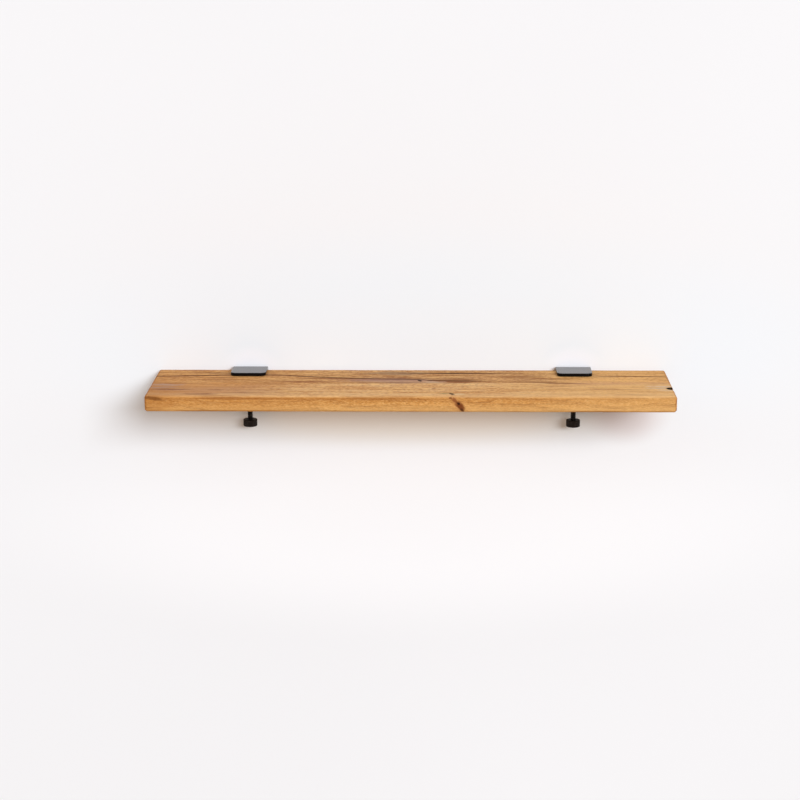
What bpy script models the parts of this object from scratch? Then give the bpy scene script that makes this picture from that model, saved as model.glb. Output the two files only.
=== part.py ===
"""A timber wall shelf gripped by two black steel clamp brackets with thumbscrews.

Metres, +Z up. The wall is the plane y = 0 and the shelf stands out from it towards -Y. The origin lies on
the wall, midway between the brackets, level with the top of the board.
"""
import math

import bmesh
import bpy
from mathutils import Matrix, Vector

# Timber board
BOARD_LENGTH = 0.800
BOARD_DEPTH = 0.180
BOARD_THICKNESS = 0.025
BOARD_EDGE_RADIUS = 0.0036

# Steel strip that each clamp bracket is bent from
BRACKET_END_DISTANCE = 0.145
STRIP_WIDTH = 0.055
STRIP_THICKNESS = 0.005
BEND_INNER_RADIUS = 0.0025
JAW_REACH = 0.049
JAW_CORNER_RADIUS = 0.008

# Thumbscrew: the pitch and the turns give the travel that the lower jaw leaves under the pad
THREAD_DIAMETER = 0.008
THREAD_PITCH = 0.00125
SCREW_TURNS = 12
FREE_THREAD = 0.0223
STUD_CHAMFER = 0.0006
KNOB_DIAMETER = 0.022
KNOB_HEIGHT = 0.011
KNOB_CHAMFER = 0.0008
KNOB_FLOOR = 0.002
KNURL_RIBS = 44
KNURL_DEPTH = 0.0004

# Thrust pad, snapped on the stud's tip
PAD_DIAMETER = 0.016
PAD_CHAMFER = 0.0008
PAD_CAP = 0.002
PAD_SKIRT = 0.0015
TIP_DIAMETER = 0.006
TIP_LENGTH = 0.0016
NECK_STEP = 0.0007
GROOVE_DEPTH = 0.0008
RING_THICKNESS = 0.0008
RING_MOUTH = 40.0

# Countersunk wall screws
SCREW_DIAMETER = 0.0045
SCREW_LENGTH = 0.045
SCREW_POINT = 0.007
SCREW_HEAD_DIAMETER = 0.009
SCREW_HEAD_LAND = 0.0005
SCREW_EDGE_DISTANCE = 0.0115
RECESS_WIDTH = 0.0011
RECESS_SPAN = 0.0046
RECESS_DEPTH = 0.0018
RECESS_TAPER = 0.55

# Clearances: FIT_GAP lies between pieces that touch on the real shelf
FIT_GAP = 0.0003
HOLE_CLEARANCE = 0.0005
CUTTER_OVERRUN = 0.002

# Facets of bends, corners and round pieces, and the angle past which an edge is shaded sharp
BEND_STEPS = 6
CORNER_STEPS = 6
EDGE_STEPS = 4
ROUND_STEPS = 32
SMALL_ROUND_STEPS = 24
SHARP_ANGLE = math.radians(30)
SAME_POINT = 1e-6

# Places worked out from the sizes above. A bend rounder than the board's edge holds the board off the back.
BRACKET_SPACING = BOARD_LENGTH - 2 * BRACKET_END_DISTANCE
BOARD_SETBACK = FIT_GAP + max(0.0, BEND_INNER_RADIUS - BOARD_EDGE_RADIUS)
BOARD_BACK_Y = -(STRIP_THICKNESS + BOARD_SETBACK)
BOARD_FRONT_Y = BOARD_BACK_Y - BOARD_DEPTH
UPPER_JAW_Z = FIT_GAP
JAW_FRONT_Y = -(STRIP_THICKNESS + JAW_REACH)
BEND_OUTER_RADIUS = BEND_INNER_RADIUS + STRIP_THICKNESS
SCREW_AXIS_Y = -(STRIP_THICKNESS + JAW_REACH / 2)
SCREW_TRAVEL = SCREW_TURNS * THREAD_PITCH
PAD_TOP_Z = -BOARD_THICKNESS - FIT_GAP
TIP_TOP_Z = PAD_TOP_Z - PAD_CAP - FIT_GAP
TIP_FOOT_Z = TIP_TOP_Z - TIP_LENGTH
RING_TOP_Z = TIP_FOOT_Z - FIT_GAP
RING_FOOT_Z = RING_TOP_Z - RING_THICKNESS
GROOVE_TOP_Z = RING_TOP_Z + FIT_GAP
GROOVE_FOOT_Z = RING_FOOT_Z - FIT_GAP
PAD_FOOT_Z = GROOVE_FOOT_Z - PAD_SKIRT
SHOULDER_Z = PAD_FOOT_Z - FIT_GAP
LOWER_JAW_Z = PAD_FOOT_Z - SCREW_TRAVEL - FIT_GAP
LOWER_JAW_FOOT_Z = LOWER_JAW_Z - STRIP_THICKNESS
KNOB_TOP_Z = LOWER_JAW_FOOT_Z - FREE_THREAD
KNOB_FOOT_Z = KNOB_TOP_Z - KNOB_HEIGHT
BORE_FOOT_Z = KNOB_FOOT_Z + KNOB_FLOOR
STUD_FOOT_Z = BORE_FOOT_Z + FIT_GAP
NECK_RADIUS = TIP_DIAMETER / 2 - NECK_STEP
PAD_BORE_RADIUS = TIP_DIAMETER / 2 + FIT_GAP
GROOVE_RADIUS = PAD_BORE_RADIUS + GROOVE_DEPTH
WALL_SCREW_X = STRIP_WIDTH / 2 - SCREW_EDGE_DISTANCE
WALL_SCREW_Z = (UPPER_JAW_Z + LOWER_JAW_Z) / 2
# A wall screw's own Z points out of the wall, towards -Y
SCREW_TURN = (math.pi / 2, 0.0, 0.0)


def make_material(name, colour, roughness, metallic):
    """A plain surface with one colour."""
    material = bpy.data.materials.new(name)
    material.use_nodes = True
    shader = material.node_tree.nodes["Principled BSDF"]
    shader.inputs["Base Color"].default_value = (*colour, 1.0)
    shader.inputs["Roughness"].default_value = roughness
    shader.inputs["Metallic"].default_value = metallic
    return material


def add_object(name, shape, material=None, parent=None, place=(0.0, 0.0, 0.0), turn=None):
    """Puts a bmesh into the scene under a name, with its origin at a place given in its parent's frame."""
    bmesh.ops.recalc_face_normals(shape, faces=shape.faces)
    mesh = bpy.data.meshes.new(name)
    shape.to_mesh(mesh)
    shape.free()
    mesh.shade_smooth()
    mesh.set_sharp_from_angle(angle=SHARP_ANGLE)
    piece = bpy.data.objects.new(name, mesh)
    bpy.context.scene.collection.objects.link(piece)
    piece.parent = parent
    piece.location = place
    if turn:
        piece.rotation_euler = turn
    if material:
        mesh.materials.append(material)
    return piece


def add_empty(name, place, parent=None):
    """A point that pieces are parented to."""
    empty = bpy.data.objects.new(name, None)
    empty.empty_display_size = STRIP_WIDTH / 2
    bpy.context.scene.collection.objects.link(empty)
    empty.parent = parent
    empty.location = place
    return empty


def cut(piece, name, shape, place=(0.0, 0.0, 0.0), turn=None):
    """Takes a shape out of a piece with a Boolean, leaving the cutter in the scene as a hidden guide."""
    cutter = add_object(name, shape, None, piece, place, turn)
    cutter.hide_render = True
    cutter.display_type = "WIRE"
    modifier = piece.modifiers.new(name, "BOOLEAN")
    modifier.operation = "DIFFERENCE"
    modifier.object = cutter


def arc(centre, radius, start, end, steps):
    """Points along an arc, from one angle to another in degrees, with both ends."""
    points = []
    for step in range(steps + 1):
        angle = math.radians(start + (end - start) * step / steps)
        points.append((centre[0] + radius * math.cos(angle), centre[1] + radius * math.sin(angle)))
    return points


def turned(profile, steps):
    """A solid of revolution about Z from (radius, height) points that start and end on the axis."""
    shape = bmesh.new()
    points = [shape.verts.new((radius, 0.0, height)) for radius, height in profile]
    edges = [shape.edges.new(pair) for pair in zip(points, points[1:])]
    bmesh.ops.spin(
        shape, geom=points + edges, cent=(0, 0, 0), axis=(0, 0, 1), angle=math.tau, steps=steps
    )
    bmesh.ops.remove_doubles(shape, verts=shape.verts, dist=SAME_POINT)
    return shape


def prism(outline, low, high, scale_low=1.0):
    """An outline in the XY plane carried between two heights, with its low end scaled about the axis."""
    shape = bmesh.new()
    top = [shape.verts.new((x, y, high)) for x, y in outline]
    foot = [shape.verts.new((x * scale_low, y * scale_low, low)) for x, y in outline]
    shape.faces.new(top)
    shape.faces.new(reversed(foot))
    for index in range(len(outline)):
        after = (index + 1) % len(outline)
        shape.faces.new((top[index], foot[index], foot[after], top[after]))
    return shape


def make_board(material):
    """One plank with all its edges rounded."""
    shape = bmesh.new()
    size = Matrix.Diagonal((BOARD_LENGTH, BOARD_DEPTH, BOARD_THICKNESS, 1.0))
    bmesh.ops.create_cube(shape, size=1.0, matrix=size)
    centre = Vector((0.0, (BOARD_BACK_Y + BOARD_FRONT_Y) / 2, -BOARD_THICKNESS / 2))
    board = add_object("shelf_board", shape, material, None, centre)
    rounding = board.modifiers.new("edge_rounding", "BEVEL")
    rounding.width = BOARD_EDGE_RADIUS
    rounding.segments = EDGE_STEPS
    rounding.limit_method = "ANGLE"
    rounding.angle_limit = SHARP_ANGLE
    return board


def bracket_outline():
    """The strip's side as (y, z) points: top jaw, upper bend, back plate, lower bend and lower jaw."""
    outer = BEND_OUTER_RADIUS
    inner = BEND_INNER_RADIUS
    top = UPPER_JAW_Z + STRIP_THICKNESS
    points = [(JAW_FRONT_Y, UPPER_JAW_Z), (JAW_FRONT_Y, top)]
    points += arc((-outer, top - outer), outer, 90, 0, BEND_STEPS)
    points += arc((-outer, LOWER_JAW_FOOT_Z + outer), outer, 0, -90, BEND_STEPS)
    points += [(JAW_FRONT_Y, LOWER_JAW_FOOT_Z), (JAW_FRONT_Y, LOWER_JAW_Z)]
    points += arc((-outer, LOWER_JAW_Z + inner), inner, -90, 0, BEND_STEPS)
    points += arc((-outer, UPPER_JAW_Z - inner), inner, 0, 90, BEND_STEPS)
    return points


def round_jaw_corners(shape):
    """Rounds the two front corners of each jaw in plan."""
    corners = []
    for edge in shape.edges:
        first, second = (vert.co for vert in edge.verts)
        upright = abs(first.x - second.x) < SAME_POINT
        at_front = max(first.y, second.y) < JAW_FRONT_Y + SAME_POINT
        if upright and at_front:
            corners.append(edge)
    bmesh.ops.bevel(
        shape,
        geom=corners,
        offset=min(JAW_CORNER_RADIUS, STRIP_WIDTH / 2 - FIT_GAP),
        segments=CORNER_STEPS,
        profile=0.5,
        affect="EDGES",
    )


def countersink():
    """The hole for a wall screw about Z, with its mouth at z = 0 and the wall side below it."""
    hole_radius = SCREW_DIAMETER / 2 + HOLE_CLEARANCE
    mouth_radius = SCREW_HEAD_DIAMETER / 2 + FIT_GAP
    land = SCREW_HEAD_LAND + FIT_GAP
    return turned(
        [
            (0.0, CUTTER_OVERRUN),
            (mouth_radius, CUTTER_OVERRUN),
            (mouth_radius, -land),
            (hole_radius, -land - (mouth_radius - hole_radius)),
            (hole_radius, -STRIP_THICKNESS - CUTTER_OVERRUN),
            (0.0, -STRIP_THICKNESS - CUTTER_OVERRUN),
        ],
        SMALL_ROUND_STEPS,
    )


def make_bracket(side, clamp, material):
    """One strip bent into a C, with two countersunk holes in its back and the thumbscrew's hole below."""
    shape = bmesh.new()
    outline = [shape.verts.new((-STRIP_WIDTH / 2, y, z)) for y, z in bracket_outline()]
    end = shape.faces.new(outline)
    far = bmesh.ops.extrude_face_region(shape, geom=[end])["geom"]
    moved = [item for item in far if isinstance(item, bmesh.types.BMVert)]
    bmesh.ops.translate(shape, verts=moved, vec=(STRIP_WIDTH, 0.0, 0.0))
    round_jaw_corners(shape)
    bracket = add_object(f"clamp_bracket_{side}", shape, material, clamp)
    for letter, sign in (("a", -1), ("b", 1)):
        place = (sign * WALL_SCREW_X, -STRIP_THICKNESS, WALL_SCREW_Z)
        cut(bracket, f"wall_hole_{side}_{letter}", countersink(), place, SCREW_TURN)
    hole_radius = THREAD_DIAMETER / 2 + FIT_GAP
    bore = turned(
        [
            (0.0, LOWER_JAW_Z + CUTTER_OVERRUN),
            (hole_radius, LOWER_JAW_Z + CUTTER_OVERRUN),
            (hole_radius, LOWER_JAW_FOOT_Z - CUTTER_OVERRUN),
            (0.0, LOWER_JAW_FOOT_Z - CUTTER_OVERRUN),
        ],
        ROUND_STEPS,
    )
    cut(bracket, f"thumbscrew_hole_{side}", bore, (0.0, SCREW_AXIS_Y, 0.0))
    return bracket


def make_stud(side, axis, material):
    """The thumbscrew's stud: thrust end, neck for the snap ring, shoulder and threaded length."""
    thread_radius = THREAD_DIAMETER / 2
    profile = [
        (0.0, TIP_TOP_Z),
        (TIP_DIAMETER / 2 - STUD_CHAMFER, TIP_TOP_Z),
        (TIP_DIAMETER / 2, TIP_TOP_Z - STUD_CHAMFER),
        (TIP_DIAMETER / 2, TIP_FOOT_Z),
        (NECK_RADIUS, TIP_FOOT_Z),
        (NECK_RADIUS, SHOULDER_Z),
        (thread_radius - STUD_CHAMFER, SHOULDER_Z),
        (thread_radius, SHOULDER_Z - STUD_CHAMFER),
        (thread_radius, STUD_FOOT_Z + STUD_CHAMFER),
        (thread_radius - STUD_CHAMFER, STUD_FOOT_Z),
        (0.0, STUD_FOOT_Z),
    ]
    return add_object(f"thumbscrew_stud_{side}", turned(profile, ROUND_STEPS), material, axis)


def make_knob(side, axis, material):
    """The round knob: straight ribs around its side, chamfered rims, and a blind bore for the stud."""
    ridge = KNOB_DIAMETER / 2
    valley = ridge - KNURL_DEPTH
    shape = bmesh.new()
    rings = []
    for height, inset in (
        (KNOB_TOP_Z, KNOB_CHAMFER),
        (KNOB_TOP_Z - KNOB_CHAMFER, 0.0),
        (KNOB_FOOT_Z + KNOB_CHAMFER, 0.0),
        (KNOB_FOOT_Z, KNOB_CHAMFER),
    ):
        ring = []
        for step in range(2 * KNURL_RIBS):
            angle = math.pi * step / KNURL_RIBS
            radius = (valley if step % 2 else ridge) - inset
            ring.append(shape.verts.new((radius * math.cos(angle), radius * math.sin(angle), height)))
        rings.append(ring)
    shape.faces.new(rings[0])
    shape.faces.new(reversed(rings[-1]))
    for upper, lower in zip(rings, rings[1:]):
        for index in range(len(upper)):
            after = (index + 1) % len(upper)
            shape.faces.new((upper[index], lower[index], lower[after], upper[after]))
    knob = add_object(f"thumbscrew_knob_{side}", shape, material, axis)
    bore_radius = THREAD_DIAMETER / 2 + FIT_GAP
    bore = turned(
        [
            (0.0, KNOB_TOP_Z + CUTTER_OVERRUN),
            (bore_radius, KNOB_TOP_Z + CUTTER_OVERRUN),
            (bore_radius, BORE_FOOT_Z),
            (0.0, BORE_FOOT_Z),
        ],
        ROUND_STEPS,
    )
    cut(knob, f"stud_bore_{side}", bore)
    return knob


def make_pad(side, axis, material):
    """The thrust pad: a cap over the stud's tip, with a groove inside its skirt for the snap ring."""
    radius = PAD_DIAMETER / 2
    profile = [
        (0.0, PAD_TOP_Z),
        (radius - PAD_CHAMFER, PAD_TOP_Z),
        (radius, PAD_TOP_Z - PAD_CHAMFER),
        (radius, PAD_FOOT_Z + PAD_CHAMFER),
        (radius - PAD_CHAMFER, PAD_FOOT_Z),
        (PAD_BORE_RADIUS, PAD_FOOT_Z),
        (PAD_BORE_RADIUS, GROOVE_FOOT_Z),
        (GROOVE_RADIUS, GROOVE_FOOT_Z),
        (GROOVE_RADIUS, GROOVE_TOP_Z),
        (PAD_BORE_RADIUS, GROOVE_TOP_Z),
        (PAD_BORE_RADIUS, PAD_TOP_Z - PAD_CAP),
        (0.0, PAD_TOP_Z - PAD_CAP),
    ]
    return add_object(f"thrust_pad_{side}", turned(profile, ROUND_STEPS), material, axis)


def make_snap_ring(side, axis, material):
    """The split ring in the pad's groove, which keeps the pad from dropping off the stud's tip."""
    inner = NECK_RADIUS + FIT_GAP
    outer = GROOVE_RADIUS - FIT_GAP
    shape = bmesh.new()
    corners = ((inner, RING_TOP_Z), (outer, RING_TOP_Z), (outer, RING_FOOT_Z), (inner, RING_FOOT_Z))
    section = shape.faces.new([shape.verts.new((x, 0.0, z)) for x, z in corners])
    bmesh.ops.spin(
        shape,
        geom=section.verts[:] + section.edges[:] + [section],
        cent=(0, 0, 0),
        axis=(0, 0, 1),
        angle=math.radians(360.0 - RING_MOUTH),
        steps=SMALL_ROUND_STEPS,
    )
    return add_object(f"snap_ring_{side}", shape, material, axis)


def cross_outline():
    """The outline of a cross recess, centred on the axis."""
    half = RECESS_WIDTH / 2
    reach = RECESS_SPAN / 2
    arm = ((half, half), (half, reach), (-half, reach))
    points = []
    for quarter in range(4):
        angle = quarter * math.pi / 2
        for x, y in arm:
            turned_x = x * math.cos(angle) - y * math.sin(angle)
            turned_y = x * math.sin(angle) + y * math.cos(angle)
            points.append((turned_x, turned_y))
    return points


def make_wall_screw(name, clamp, place, material):
    """A countersunk screw about its own Z, with its head's face at z = 0 and its point below."""
    head_radius = SCREW_HEAD_DIAMETER / 2
    shank_radius = SCREW_DIAMETER / 2
    profile = [
        (0.0, 0.0),
        (head_radius, 0.0),
        (head_radius, -SCREW_HEAD_LAND),
        (shank_radius, -SCREW_HEAD_LAND - (head_radius - shank_radius)),
        (shank_radius, -SCREW_LENGTH + SCREW_POINT),
        (0.0, -SCREW_LENGTH),
    ]
    screw = add_object(name, turned(profile, SMALL_ROUND_STEPS), material, clamp, place, SCREW_TURN)
    recess = prism(cross_outline(), -RECESS_DEPTH, CUTTER_OVERRUN, RECESS_TAPER)
    cut(screw, f"recess_{name}", recess)
    return screw


def make_shelf():
    """Builds the board and the two clamps, one on each side of the middle."""
    timber = make_material("oiled_reclaimed_timber", (0.47, 0.27, 0.13), 0.55, 0.0)
    coated = make_material("black_powder_coated_steel", (0.012, 0.012, 0.012), 0.42, 0.0)
    blackened = make_material("black_oxide_thread", (0.016, 0.014, 0.013), 0.38, 0.8)
    knurled = make_material("black_oxide_knurl", (0.018, 0.015, 0.013), 0.45, 0.8)
    pressed = make_material("black_oxide_pad", (0.02, 0.019, 0.018), 0.5, 0.7)
    sprung = make_material("spring_steel", (0.45, 0.45, 0.46), 0.3, 1.0)
    zinc = make_material("zinc_plated_steel", (0.62, 0.61, 0.58), 0.32, 1.0)

    make_board(timber)
    for side, sign in (("left", -1), ("right", 1)):
        clamp = add_empty(f"clamp_{side}", (sign * BRACKET_SPACING / 2, 0.0, 0.0))
        axis = add_empty(f"thumbscrew_axis_{side}", (0.0, SCREW_AXIS_Y, 0.0), clamp)
        make_bracket(side, clamp, coated)
        make_stud(side, axis, blackened)
        make_knob(side, axis, knurled)
        make_pad(side, axis, pressed)
        make_snap_ring(side, axis, sprung)
        for letter, screw_sign in (("a", -1), ("b", 1)):
            place = (screw_sign * WALL_SCREW_X, -STRIP_THICKNESS + FIT_GAP, WALL_SCREW_Z)
            make_wall_screw(f"wall_screw_{side}_{letter}", clamp, place, zinc)


for leftover in list(bpy.data.objects):
    bpy.data.objects.remove(leftover, do_unlink=True)
make_shelf()
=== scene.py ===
"""The finished surfaces of a timber wall shelf in two black clamp brackets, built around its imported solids.

Metres, +Z up. The wall is the plane y = 0, and the shelf stands out from it towards -Y.
"""
import itertools
import math
from collections import namedtuple

import bmesh
import bpy
import numpy as np
from bpy.props import FloatProperty, FloatVectorProperty, IntProperty, PointerProperty
from mathutils import Euler, Matrix, Vector


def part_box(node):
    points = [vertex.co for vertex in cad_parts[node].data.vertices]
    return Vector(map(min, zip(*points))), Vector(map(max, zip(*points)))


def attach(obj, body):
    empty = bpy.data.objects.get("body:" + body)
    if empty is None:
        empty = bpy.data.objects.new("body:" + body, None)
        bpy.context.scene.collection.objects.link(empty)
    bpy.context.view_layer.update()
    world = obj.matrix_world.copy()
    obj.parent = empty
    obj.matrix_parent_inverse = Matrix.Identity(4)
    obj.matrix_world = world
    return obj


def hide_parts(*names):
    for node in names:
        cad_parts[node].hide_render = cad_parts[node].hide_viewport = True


bl_info = {
    "name": "Bracket Wall Shelf",
    "version": (1, 0, 0),
    "blender": (4, 5, 0),
    "location": "3D View > Sidebar > Shelf",
    "description": "Builds the finished surfaces of a timber shelf held by two clamp brackets",
    "category": "Object",
}

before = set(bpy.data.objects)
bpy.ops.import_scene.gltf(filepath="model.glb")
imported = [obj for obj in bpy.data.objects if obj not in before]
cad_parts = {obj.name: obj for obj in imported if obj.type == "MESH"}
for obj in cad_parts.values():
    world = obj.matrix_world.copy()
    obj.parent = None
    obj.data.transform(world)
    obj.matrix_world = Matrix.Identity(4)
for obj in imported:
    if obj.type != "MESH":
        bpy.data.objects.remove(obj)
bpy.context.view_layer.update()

MM = 0.001
SIDES = ("left", "right")
WELD = 1e-6
SHARP_ANGLE = math.radians(35)
# Pieces that touch on the real shelf are this far apart in the frame
FIT_GAP = 0.3 * MM
# Attribute of a bracket's points: how far each belongs to a cut edge
CUT_EDGE = "cut_edge"


def linear(code):
    """An sRGB hex value as a linear colour with an alpha of 1."""
    share = np.array([int(code[place:place + 2], 16) for place in (1, 3, 5)]) / 255
    value = np.where(share <= 0.04045, share / 12.92, ((share + 0.055) / 1.055) ** 2.4)
    return (*value.tolist(), 1.0)


def length(name, description, default):
    """A setting for a size in metres."""
    return FloatProperty(name=name, description=description, default=default, min=0.0, precision=5,
                         subtype="DISTANCE", unit="LENGTH")


def rotation(name, description, degrees):
    """A setting for an angle."""
    return FloatProperty(name=name, description=description, default=math.radians(degrees),
                         subtype="ANGLE", unit="ROTATION")


def colour(name, description, code):
    """A setting for a surface colour."""
    return FloatVectorProperty(name=name, description=description, default=linear(code), size=4,
                               min=0.0, max=1.0, subtype="COLOR")


class BoardSettings(bpy.types.PropertyGroup):
    """Sizes and colours of the timber board."""

    edge_radius: length("Edge radius", "Rounding of every edge of the plank", 3.6 * MM)
    undulation: length("Undulation", "Depth of the slow waves that sanding leaves", 0.14 * MM)
    fibre_depth: length("Fibre depth", "Depth of the grooves between fibres", 0.07 * MM)
    edge_wear: length("Edge wear", "Depth of the knocks along the edges", 0.7 * MM)
    gouge_depth: length("Gouge depth", "Depth of the chip in the right end", 8 * MM)
    ring_width: length("Ring width", "Width of one year's growth", 4.6 * MM)
    golden: colour("Golden", "Oiled timber on the sawn sides", "#D79A54")
    honey: colour("Honey", "Palest fibres", "#E8B876")
    amber: colour("Amber", "Deeper coloured bands", "#BE7E3C")
    brown: colour("Brown", "Late wood and pores", "#85502A")
    pale: colour("Pale", "Timber bleached on the upper face", "#E0B47F")
    tan: colour("Tan", "Deeper coloured bands of the upper face", "#C0864E")


class ClampSettings(bpy.types.PropertyGroup):
    """Sizes and colours of the bent steel brackets."""

    strip_thickness: length("Strip thickness", "Thickness of the flat bar", 5 * MM)
    bend_radius: length("Bend radius", "Inner radius of both bends", 2.5 * MM)
    corner_radius: length("Corner radius", "Rounding of the jaws' front corners in plan", 8 * MM)
    rim_radius: length("Rim radius", "Rounding that the coating gives the strip's edges", 0.7 * MM)
    coat: colour("Coat", "Satin black powder coat", "#08080A")


class ThumbscrewSettings(bpy.types.PropertyGroup):
    """Sizes and colours of the thumbscrews and their thrust pads."""

    pitch: length("Pitch", "Pitch of the metric thread", 1.25 * MM)
    thread_depth: length("Thread depth", "Height of the thread's ridge", 0.767 * MM)
    thread_length: length("Thread length", "Reach of the thread down from the stud's shoulder", 27 * MM)
    rib_depth: length("Rib depth", "Depth of the grooves around the knob", 0.4 * MM)
    ribs: IntProperty(name="Ribs", description="Straight ribs around the knob", default=44, min=3)
    black_oxide: colour("Black oxide", "Warm black of oxide and oil on steel", "#241A13")
    oiled_thread: colour("Oiled thread", "Deeper black of the stud, which holds more oil", "#0C0806")
    bare_edge: colour("Bare edge", "Oxide rubbed thin on crests and rims", "#4A3F37")


class WallScrewSettings(bpy.types.PropertyGroup):
    """Sizes and colours of the countersunk wall screws."""

    pitch: length("Pitch", "Pitch of the coarse thread", 2.2 * MM)
    core_radius: length("Core radius", "Radius of the shank between its threads", 1.55 * MM)
    recess_width: length("Recess width", "Width of the cross recess's arms", 1.1 * MM)
    recess_span: length("Recess span", "Reach of the cross recess from tip to tip", 4.6 * MM)
    recess_depth: length("Recess depth", "Depth of the cross recess", 1.8 * MM)
    zinc: colour("Zinc", "Passivated zinc plate", "#B9B6AE")


class StageSettings(bpy.types.PropertyGroup):
    """The camera, the wall, the floor and the lights."""

    camera_place: FloatVectorProperty(
        name="Camera place", description="Where the camera stands", default=(0.0397, -3.2213, 0.7282),
        size=3, subtype="XYZ", unit="LENGTH")
    camera_turn: rotation("Camera turn", "Turn of the camera to its left", 1.037)
    camera_dip: rotation("Camera dip", "Dip of the camera below the horizon", 13.591)
    camera_roll: rotation("Camera roll", "Roll of the camera to its right", 0.131)
    lens: FloatProperty(
        name="Lens", description="Focal length in millimetres on a 36 mm frame",
        default=93.73, unit="CAMERA")
    floor_drop: length("Floor drop", "Height of the shelf's top over the floor", 1.1)
    key_distance: length("Key distance", "Distance of the soft box from the shelf", 40.0)
    key_width: length("Key width", "Width of the soft box", 19.0)
    key_height: length("Key height", "Height of the soft box", 12.5)
    key_power: FloatProperty(
        name="Key power", description="Power of the soft box", default=13250.0, unit="POWER")
    key_side: rotation("Key side", "Turn of the soft box to the viewer's right", 21)
    key_rise: rotation("Key rise", "Height of the soft box as an angle", 20)
    key_colour: colour("Key colour", "Slightly cool light of the soft box", "#EDF6FF")
    front_light: colour("Front light", "Weak warm light from the room in front", "#97806B")
    rear_light: colour("Rear light", "Light from above and behind", "#F6F5F4")
    wall: colour("Wall", "Matt white wall paint", "#F4F4F5")
    floor: colour("Floor", "Pale studio floor", "#E2DCD3")


# Shapes as grids of points


def grid_faces(rows, columns, start):
    """Quads between the neighbours of a grid whose points are numbered row by row."""
    corner = start + np.arange(rows - 1)[:, None] * columns + np.arange(columns - 1)
    return np.stack((corner, corner + 1, corner + columns + 1, corner + columns), axis=-1).reshape(-1, 4)


def shade(mesh):
    """Shades a mesh smooth, with sharp corners."""
    mesh.shade_smooth()
    mesh.set_sharp_from_angle(angle=SHARP_ANGLE)


def add_piece(name, grids, material=None):
    """Joins grids of points into one piece at the origin.

    Points that coincide are merged, which closes the seams and poles, and the faces are turned outwards.
    """
    counts = [grid.shape[0] * grid.shape[1] for grid in grids]
    starts = np.cumsum([0] + counts[:-1])
    points = np.concatenate([grid.reshape(-1, 3) for grid in grids])
    faces = np.concatenate([grid_faces(*grid.shape[:2], start) for grid, start in zip(grids, starts)])
    mesh = bpy.data.meshes.new(name)
    mesh.from_pydata(points.tolist(), [], faces.tolist())
    shape = bmesh.new()
    shape.from_mesh(mesh)
    bmesh.ops.remove_doubles(shape, verts=shape.verts, dist=WELD)
    bmesh.ops.recalc_face_normals(shape, faces=shape.faces)
    shape.to_mesh(mesh)
    shape.free()
    if material:
        mesh.materials.append(material)
    shade(mesh)
    piece = bpy.data.objects.new(name, mesh)
    bpy.context.scene.collection.objects.link(piece)
    return piece


def stand_for(piece, node, body):
    """Lets a finished piece take a solid's place in the frame and move with its body."""
    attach(piece, body)
    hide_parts(node)


def smoothstep(low, high, value):
    """Goes from 0 at low to 1 at high, level at both ends."""
    share = np.clip((value - low) / (high - low), 0.0, 1.0)
    return share * share * (3 - 2 * share)


def soft_noise(points, cell, seed):
    """Smooth noise from 0 to 1: random values at the corners of cells, blended by smoothsteps."""
    lattice = 64
    table = np.random.default_rng(seed).random((lattice,) * 3)
    place = points / np.asarray(cell)
    low = np.floor(place).astype(int)
    share = smoothstep(0.0, 1.0, place - low)
    total = np.zeros(points.shape[:-1])
    for corner in itertools.product((0, 1), repeat=3):
        weight = np.prod(np.where(corner, share, 1 - share), axis=-1)
        index = (low + corner) % lattice
        total += weight * table[index[..., 0], index[..., 1], index[..., 2]]
    return total


def softened(corners, rounding, steps=4):
    """Replaces each inner corner of a profile by a curve.

    The curve is a parabola that leaves one side and meets the next at the rounding's distance from the
    corner, or at 0.45 of the shorter side.
    """
    corners = np.asarray(corners, float)
    here = corners[1:-1]
    ends = []
    sides = np.linalg.norm(np.diff(corners, axis=0), axis=1)
    reach = np.minimum(rounding, 0.45 * np.minimum(sides[:-1], sides[1:]))[:, None]
    for other, side in ((corners[:-2], sides[:-1]), (corners[2:], sides[1:])):
        ends.append((here + (other - here) / side[:, None] * reach)[:, None])
    share = np.linspace(0.0, 1.0, steps + 1)[None, :, None]
    curve = (1 - share) ** 2 * ends[0] + 2 * share * (1 - share) * here[:, None] + share ** 2 * ends[1]
    return np.concatenate((corners[:1], curve.reshape(-1, 2), corners[-1:]))


def around_axis(radius, height, columns):
    """Carries heights round the Z axis at radii that may change with the angle, as one grid."""
    angle = np.linspace(0.0, math.tau, columns + 1)
    radius = np.broadcast_to(radius, (len(height), columns + 1))
    level = np.broadcast_to(height[:, None], radius.shape)
    return np.stack((radius * np.cos(angle), radius * np.sin(angle), level), axis=-1)


def thread_ridge(height, columns, pitch, crest_flat, root_flat):
    """A right-hand thread's profile: 0 on its crest and 1 in its root, by height and by angle.

    The share of a turn is height / pitch - angle / 360 degrees. Straight flanks join a flat crest and a
    flat root, whose widths are given as shares of the pitch.
    """
    angle = np.linspace(0.0, 1.0, columns + 1)
    turn = (height[:, None] / pitch - angle) % 1.0
    away = np.abs(2 * turn - 1)
    return np.clip((away - crest_flat) / (1 - crest_flat - root_flat), 0.0, 1.0)


# Materials


def link_node(tree, kind, sockets=None, out=0, into=None, **settings):
    """Adds a node with its settings, fills or links its inputs, and gives back or passes on one output.

    The kind is the node's type without ShaderNode in front.
    """
    node = tree.nodes.new(f"ShaderNode{kind}")
    for name, value in settings.items():
        setattr(node, name, value)
    for key, value in (sockets or {}).items():
        if isinstance(value, bpy.types.NodeSocket):
            tree.links.new(value, node.inputs[key])
        else:
            node.inputs[key].default_value = value
    if into:
        tree.links.new(node.outputs[out], into)
    return node.outputs[out]


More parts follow.
